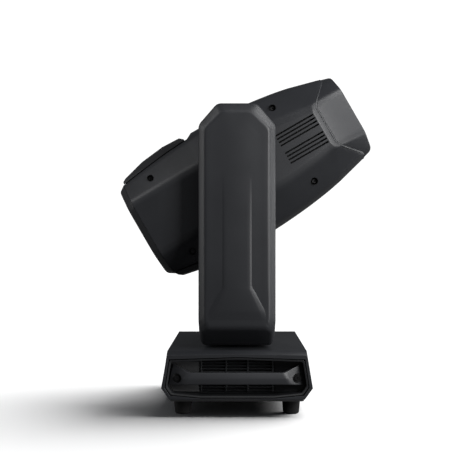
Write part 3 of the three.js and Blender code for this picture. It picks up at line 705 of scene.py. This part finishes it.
def build_optics():
    for node in ("colour_wheel", "gobo_wheel", "zoom_carriage", "focus_carriage"):
        refine(node, 0.3)
    for node in ("zoom_lens", "focus_lens"):
        refine(node, 0, flat=0, soft=40)
    refine("cooling_fan", 0.4)
    for i, colour in enumerate(FILTERS, start=1):
        mesh = wheel_disc(i, -29, 11.6, 1.1)
        detail(f"colour_{colour}", mesh, "colour_wheel", "lens_glass", material=colour)
    for i in range(1, 7):
        spokes = i + 2
        place = wheel_place(i, -9)
        for k in range(spokes):
            turn = place @ Matrix.Rotation(2 * math.pi * k / spokes, 4, "Z")
            bar = box(f"gobo_{i}_{k}", (1.5, -0.9, -0.4), (11.8, 0.9, 0.4), turn)
            detail(f"gobo_{i}_bar_{k + 1}", bar, "gobo_wheel", "aluminium")


def wheel_place(index, u):
    angle = 2 * math.pi * index / 7 + math.pi
    reach = 45 * MM
    where = Matrix.Translation((reach + reach * math.cos(angle), reach * math.sin(angle), u * MM))
    return TILT @ where


def wheel_disc(index, u, radius, thickness):
    half = thickness / 2
    profile = [(0, -half), (radius, -half), (radius, half), (0, half)]
    return turned(f"disc_{index}", profile, wheel_place(index, u), 32)


# ---------------------------------------------------------------- yoke


def build_yoke():
    build_arm(-1, "arm_cover_front")
    build_arm(1, "arm_cover_back")
    refine("yoke_frame", 0.6)
    refine("yoke_cover", 2.5, 3, 20)
    for node in ("pan_shaft", "pan_pulley", "tilt_bearing_front", "tilt_bearing_back"):
        refine(node, 0.4)
    refine("tilt_motor", 0.4)
    for node in ("tilt_pinion", "tilt_belt"):
        refine(node, 0.2)
    refine("tilt_lock", 1.2, 3)
    places = [(side * x, z) for x, z in ((58, 170), (62, 330), (62, 540)) for side in (-1, 1)]
    for side, arm in ((-1, "front"), (1, "back")):
        turn = Matrix.Rotation(math.radians(90 * side), 4, "X")
        for k, (x, z) in enumerate(places, start=1):
            middle = Matrix.Translation((x * MM, side * 143 * MM, z * MM))
            sizes = (1.6, 4, 2.1, 1.4, 0)
            build_screw(f"arm_screw_{arm}_{k}", "yoke", middle @ turn, sizes, (0.4, 0.5))


# An arm's depths from the pan axis: its open back, the start of its bevel, and its face.
ARM_BACK = 149.4
ARM_BEVEL = 190
ARM_FACE = 205
FACE_HALF = 65.5
# Right half of an arm's outline, from the foot to the top: its place at the side and on the face.
# The points of the foot are heights above the arm's sloping underside.
FOOT_HEIGHT = 24
ARM_LINE = (
    ((70, 0), (60, 0)),
    ((75.5, 9), (63.5, 9)),
    ((78.5, FOOT_HEIGHT), (FACE_HALF, FOOT_HEIGHT)),
    ((78.5, 553.6), (FACE_HALF, 544.6)),
    ((75.5, 560.6), (62.5, 551.6)),
    ((43, 598), (33.6, 579)),
    ((36, 601), (26.6, 582)),
)


def arm_ring(y, inset=0):
    """An arm's outline at a distance from the pan axis, its corners softened."""
    on_face = max(0, (y - ARM_BEVEL) / (ARM_FACE - ARM_BEVEL))
    underside = 101.5 + (y - 143) * 0.68
    right = []
    for (x0, z0), (x1, z1) in ARM_LINE:
        x = x0 + (x1 - x0) * on_face - inset
        at_foot = z0 <= FOOT_HEIGHT
        z = underside + z0 + inset if at_foot else z0 + (z1 - z0) * on_face - inset
        right.append(Vector((x, y, z)))
    left = [Vector((-p.x, p.y, p.z)) for p in reversed(right)]
    steps = 3
    loop = soft_loop(right + left, 5, steps)
    dense = []
    for i, p in enumerate(loop):
        dense.append(p)
        if i % (steps + 1) == steps:
            after = loop[(i + 1) % len(loop)]
            dense += [p.lerp(after, k / 6) for k in range(1, 6)]
    return dense


def face_crown(x, z):
    """How far the face of an arm stands from the pan axis."""
    ends = max(0, min(1, (z - 172) / 36, (570 - z) / 36))
    middle = (1 - (x / FACE_HALF) ** 2) * max(0, 1 - (x / (FACE_HALF - 14)) ** 2)
    return ARM_FACE + 1.5 * ends * middle


def face_fill(ring, count):
    """Rings that close an arm's face towards its middle, with its slight crown."""
    rows = []
    for k in range(1, count + 1):
        t = k / count
        row = []
        for p in ring:
            x = p.x * (1 - t)
            z = p.z + (min(max(p.z, 215), 520) - p.z) * t
            row.append(Vector((x, face_crown(x, z), z)))
        rows.append(row)
    return rows


def roll(row_a, row_b, row_c, cut, foot_cut, steps):
    """Rounds the edge at row b, more broadly at the foot of an arm."""
    columns = []
    for a, b, c in zip(row_a, row_b, row_c):
        width = foot_cut if b.z < 152 else cut
        columns.append(corner_arc(a, b, c, width, steps))
    return [list(row) for row in zip(*columns)]


def build_arm(side, node):
    back = arm_ring(ARM_BACK)
    face = arm_ring(ARM_FACE)
    inner = arm_ring(ARM_FACE, 14)
    for p in inner:
        if p.z < 190:
            p.z += 14
    bevel = arm_ring(ARM_BEVEL)
    rows = [arm_ring(ARM_BACK - 0.8), back, *roll(back, bevel, face, 4, 6, 4)]
    rows += [*roll(bevel, face, inner, 5.5, 9, 6), inner, *face_fill(inner, 8)]
    turn = Matrix.Rotation(0 if side > 0 else math.pi, 3, "Z")
    mesh = skin(node, [[turn @ (p * MM) for p in row] for row in rows])
    piece = link(node + "_v", mesh)
    thicken(piece, 3)
    stand_for(piece, node, 40)
    build_keel(turn, node.replace("cover", "keel"))


# Stations of the keel on an arm's face: height, outer and inner half-width of its flank, and how
# far it stands out.
KEEL = (
    (480, 29.6, 25.6, -0.5),
    (474, 29.6, 25.6, -0.2),
    (468, 29.6, 25.6, -0.12),
    (440, 29.6, 25.6, 0.1),
    (400, 29.6, 25.6, 0.45),
    (330, 29.6, 25.6, 1.0),
    (232, 29.8, 25.8, 1.7),
    (226, 31.5, 25.4, 1.9),
    (222, 34.5, 26, 2.0),
    (182, 55.5, 44, 2.0),
    (176, 57.5, 47, 1.6),
    (168, 58, 49, 0.7),
    (160, 58, 50, -0.12),
    (157, 58, 50, -0.4),
)


def build_keel(turn, name):
    """The raised keel of an arm's face: it fades out upwards and spreads towards the foot."""
    rows = []
    for z, outer, inner, height in KEEL:
        slant = outer - inner
        line = [(outer + 0.8, -0.5), (outer, -0.08), (outer - 0.15 * slant, 0.15 * height)]
        line += [(inner + 0.15 * slant, 0.87 * height), (inner - 0.1 * slant, height)]
        line += [(share * inner, height) for share in (0.75, 0.5, 0.25, 0)]
        line += [(-x, rise) for x, rise in reversed(line[:-1])]
        rows.append([turn @ (Vector((x, face_crown(x, z) + rise, z)) * MM) for x, rise in line])
    mesh = skin(name, rows, around=False)
    if mesh.polygons[len(mesh.polygons) // 2].normal.dot(turn @ Vector((0, 1, 0))) < 0:
        mesh.flip_normals()
    piece = detail(name, mesh, "yoke", "housing_plastic", 50)
    thicken(piece, 0.8)


# ---------------------------------------------------------------- base


def ring_at(outline, y):
    whole = [*outline, *[(-x, z) for x, z in reversed(outline) if x]]
    return [Vector((x, y, z)) for x, z in whole]


def at_end(points, turn):
    """Turns points made for the front end to either end of the base, in metres."""
    return [Matrix.Rotation(turn, 3, "Z") @ (p * MM) for p in points]


def rounded_outline(points, cut, steps):
    """The right half of an outline with its inner corners softened."""
    corners = [Vector((x, z, 0)) for x, z in points]
    out = [corners[0]]
    for a, b, c in zip(corners, corners[1:], corners[2:]):
        out += corner_arc(a, b, c, cut, steps)
    out.append(corners[-1])
    return [(p.x, p.y) for p in out]


RECESS_RIM = ((73, 7.2), (132.6, 12.9), (143.4, 28), (135.2, 82.4), (0, 86.9))
RECESS_WALL = ((73, 10.6), (129.4, 16), (139.9, 30), (132, 79), (0, 83.5))
RECESS_FLOOR = ((73, 11), (78, 14), (80, 28), (78, 76), (0, 82))


def build_blade(name, mesh):
    detail(name, mesh, "base", "trim_plastic", material="grille_plastic", edge=0.4)


def build_end(turn, name):
    panel = f"end_panel_{name}"
    rim = rounded_outline(RECESS_RIM, 4, 3)
    wall = rounded_outline(RECESS_WALL, 4, 3)
    floor = rounded_outline(RECESS_FLOOR, 4, 3)
    inner = [(x * 0.965, 46 + (z - 46) * 0.95) for x, z in floor]
    rows = [ring_at(rim, -217.2), ring_at(rim, -219.2), ring_at(wall, -218.4), ring_at(wall, -188)]
    rows += [ring_at(floor, -176), ring_at(inner, -174.6), ring_at(inner, -171.6)]
    rows += [ring_at(floor, -172), ring_at(rim, -184)]
    piece = link(panel + "_v", skin(panel, [at_end(r, turn) for r in rows], endless=True))
    round_edges(piece, 0.5, 2)
    stand_for(piece, panel, 24)
    for i in range(11):
        level = 14.5 + 6.2 * i
        lean = Matrix.Rotation(turn, 4, "Z") @ Matrix.Translation((0, -0.1735, level * MM))
        lean = lean @ Matrix.Rotation(math.radians(-32), 4, "X")
        build_blade(f"{panel}_louvre_{i + 1}", box("louvre", (-76, -4, -0.9), (76, 4, 0.9), lean))
    upright = Matrix.Rotation(turn, 4, "Z")
    for i, x in enumerate((-73, -22, 22, 73), start=1):
        post = box("post", (x - 1.4, -178, 13), (x + 1.4, -170, 81.5), upright)
        build_blade(f"{panel}_post_{i}", post)
    # A near-black sheet behind the louvres: painted shade, so that the grille reads black.
    mesh = box(panel + "_filter", (-84, -168.5, 9), (84, -167.5, 84), upright)
    detail(panel + "_louvre_shade_sheet", mesh, "base", "rubber", material="louvre_shade_sheet")
    build_handle(turn, f"handle_{name}")


# Corners of the handle where its heels meet the base and where its grip ends.
HEEL = ((128.6, -201, 73), (134, -200, 50), (137.8, -199.5, 29.4), (135, -187.6, 31))
HEEL += ((126.5, -187.6, 71),)
BAR = ((94.8, -220.5, 57.5), (101, -222, 45.5), (105.6, -220.5, 33.3), (100, -207, 34))
BAR += ((92, -207, 57),)
COUNTERBORE = ((0, -6), (8.8, -6), (9.5, -5), (9.5, 20), (0, 20))
WASHER = ((5.2, -5.9), (9.2, -5.9), (9.2, -4.9), (5.2, -4.9))


def soft_loop(points, cut, steps):
    n = len(points)
    loop = []
    for i in range(n):
        loop += corner_arc(points[i - 1], points[i], points[(i + 1) % n], cut, steps)
    return loop


def build_handle(turn, node):
    def loop(points, side, cut):
        return soft_loop([Vector((side * x, y, z)) for x, y, z in points], cut, 3)

    grip = [loop(BAR, side, 2.2) for side in (-1, 1)]
    heels = [loop(HEEL, side, 1.5) for side in (-1, 1)]
    soft_left = eased_rows(heels[0], grip[0], grip[1], 6, 4)
    soft_right = eased_rows(grip[0], grip[1], heels[1], 6, 4)
    rows = [heels[0], *soft_left, *soft_right, heels[1]]
    piece = link(node + "_v", skin(node, [at_end(r, turn) for r in rows], caps=True))
    cutters = []
    for i, side in enumerate((-1, 1), start=1):
        place = Matrix.Rotation(turn, 4, "Z") @ Matrix.Translation((side * 0.121, -0.208, 0.045))
        place = place @ Matrix.Rotation(math.radians(90), 4, "X")
        cutters.append(turned("bore", COUNTERBORE, place, 40))
        washer = turned("washer", WASHER, place, 32)
        detail(f"{node}_washer_{i}", washer, "base", "black_steel")
        build_screw(f"{node}_screw_{i}", "base", place, (2.6, 5.5, 0.2, -2.5, -5.9), (0.6, 0.7))
    carve(piece, cutters)
    stand_for(piece, node, 24, "handle_plastic")


def build_base():
    refine("base_housing", 1.6, 3, 20)
    refine("base_plate", 0.6)
    for i in range(1, 5):
        refine(f"foot_{i}", 1.2, 3)
    build_end(0, "front")
    build_end(math.pi, "back")
    for node in ("base_frame", "pan_bearing", "power_supply", "pan_motor"):
        refine(node, 0.6)
    for node in ("pan_pinion", "pan_belt"):
        refine(node, 0.2)
    refine("pan_lock", 1.0, 3)
    build_display()
    build_connectors()


def slope_place(side):
    """The frame of a sloping side of the base: X down the slope, Y along the base, Z outwards."""
    place = Matrix.Translation((side * 0.1472, 0, 0.057))
    return place @ Matrix.Rotation(side * math.radians(90 - 8.77), 4, "Y")


MENU_BUTTONS = (32, 47, 62, 77)


def build_display():
    place = slope_place(1)
    refine("display_bezel", 0.5)
    refine("display_screen", 0.4)
    tints = ("tile_blue", "tile_teal", "tile_grey")
    for row in range(2):
        for column in range(3):
            low = (-9 + 12.5 * row, -66 + 25.5 * column, -1.5)
            mesh = box("tile", low, (low[0] + 10.5, low[1] + 22.5, -1.25), place)
            tint = tints[(row + column) % 3]
            detail(f"menu_tile_{row}{column}", mesh, "base", "screen_glass", material=tint)
    strip = box("strip", (-14.5, -66, -1.5), (-12, 7.5, -1.25), place)
    detail("menu_strip", strip, "base", "screen_glass", material="tile_grey")
    for i, y in enumerate(MENU_BUTTONS, start=1):
        refine(f"menu_button_{i}", 0.8, 3)
        button = f"menu_button_{i}"
        arrow = arrow_mesh(place @ Matrix.Translation((0, y * MM, 0.4 * MM)), 90 * (i - 1))
        detail(f"button_arrow_{i}", arrow, button, "button_plastic", material="pale_mark")


def arrow_mesh(place, degrees):
    turn = place @ Matrix.Rotation(math.radians(degrees), 4, "Z")
    outline = ((-1.6, -1.5), (1.9, 0), (-1.6, 1.5))
    corners = [turn @ (Vector((x, y, level)) * MM) for level in (-0.1, 0) for x, y in outline]
    faces = [(2, 1, 0), (3, 4, 5), (0, 1, 4, 3), (1, 2, 5, 4), (2, 0, 3, 5)]
    return mesh_of("arrow", corners, faces)


# Contacts of each socket: its place along the base, their number, how far out they sit, their
# radius, and how far the socket's two screws are from its middle both ways.
SOCKETS = ((-62, 3, 5.5, 1.5, 12.24), (8, 5, 5.0, 0.9, 10.44), (52, 3, 4.5, 1.1, 10.44))


def build_connectors():
    def spot(x, y):
        return place @ Matrix.Translation((x * MM, y * MM, 0))

    place = slope_place(-1)
    refine("connector_panel", 0.5)
    for node in ("power_inlet", "data_in", "data_out"):
        refine(node, 0.5, 2)
    for y, count, reach, radius, span in SOCKETS:
        contact = [(0, -13), (radius, -13), (radius, -4.5), (radius * 0.6, -3.5), (0, -3.5)]
        for k in range(count):
            angle = 2 * math.pi * k / count + 0.5
            at = spot(reach * math.cos(angle), y + reach * math.sin(angle))
            name = f"contact_{y + 62}_{k + 1}"
            detail(name, turned(name, contact, at, 20), "base", "aluminium")
        for k, way in enumerate((-1, 1), start=1):
            at = spot(way * span, y + way * span)
            sizes = (1.2, 2.8, -0.2, -1.1, -1.2)
            build_screw(f"socket_screw_{y + 62}_{k}", "base", at, sizes, sides=20)


make_camera()
make_world()
make_lights(make_floor())
bpy.context.scene.view_settings.view_transform = "Standard"
build_base()
build_yoke()
build_head()
build_optics()
